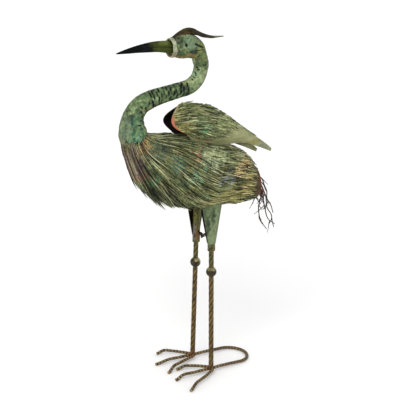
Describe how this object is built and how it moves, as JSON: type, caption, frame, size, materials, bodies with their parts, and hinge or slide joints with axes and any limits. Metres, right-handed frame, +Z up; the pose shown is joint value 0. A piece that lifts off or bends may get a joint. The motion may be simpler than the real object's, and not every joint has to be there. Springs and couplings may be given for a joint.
{
  "type": "metal heron figurine",
  "caption": "Standing wading-bird garden sculpture of patinated sheet metal, with fringed feathers, twisted bar legs and a U-shaped heel loop that steadies it on the ground.",
  "frame": {"origin": "centre of the bounding box in plan, at the ground under the feet", "axes": "+Z up; -X is the way the bird faces, so +X points to its tail; +Y to the bird's right side"},
  "size_m": [0.4288, 0.2112, 0.8492],
  "materials": {
    "patina_green": "matt grey-green patina on hammered sheet, with turquoise and peach patches",
    "feather_green": "matt green, brown and mauve patina on narrow cut strips, with pale worn edges",
    "wing_green": "matt pale olive patina on sheet, with salmon raw edges",
    "dark_bronze": "satin dark bronze",
    "horn_dark": "satin slate, olive near the face",
    "bar_brown": "rough olive-brown patina on twisted and ribbed bar",
    "ball_dark": "satin dark brown, worn light on top",
    "wire_dark": "rough dark brown wire"
  },
  "bodies": {
    "root": {"body": "feather_green", "neck": "patina_green", "head": "patina_green", "beak": "horn_dark", "crest": "dark_bronze", "wing_left": "wing_green", "wing_right": "wing_green", "thigh_left": "patina_green", "thigh_right": "patina_green", "sleeve_left": "patina_green", "sleeve_right": "patina_green", "leg_left": "bar_brown", "leg_right": "bar_brown", "knee_ball_left": "ball_dark", "knee_ball_right": "ball_dark", "toe_left_inner": "bar_brown", "toe_left_middle": "bar_brown", "toe_left_outer": "bar_brown", "toe_right_inner": "bar_brown", "toe_right_middle": "bar_brown", "toe_right_outer": "bar_brown", "heel_loop": "bar_brown", "leg_brace": "wire_dark", "tail_wire_1": "wire_dark", "tail_wire_2": "wire_dark", "tail_wire_3": "wire_dark", "tail_wire_4": "wire_dark", "tail_wire_5": "wire_dark", "tail_wire_6": "wire_dark", "tail_wire_7": "wire_dark"}
  },
  "joints": []
}
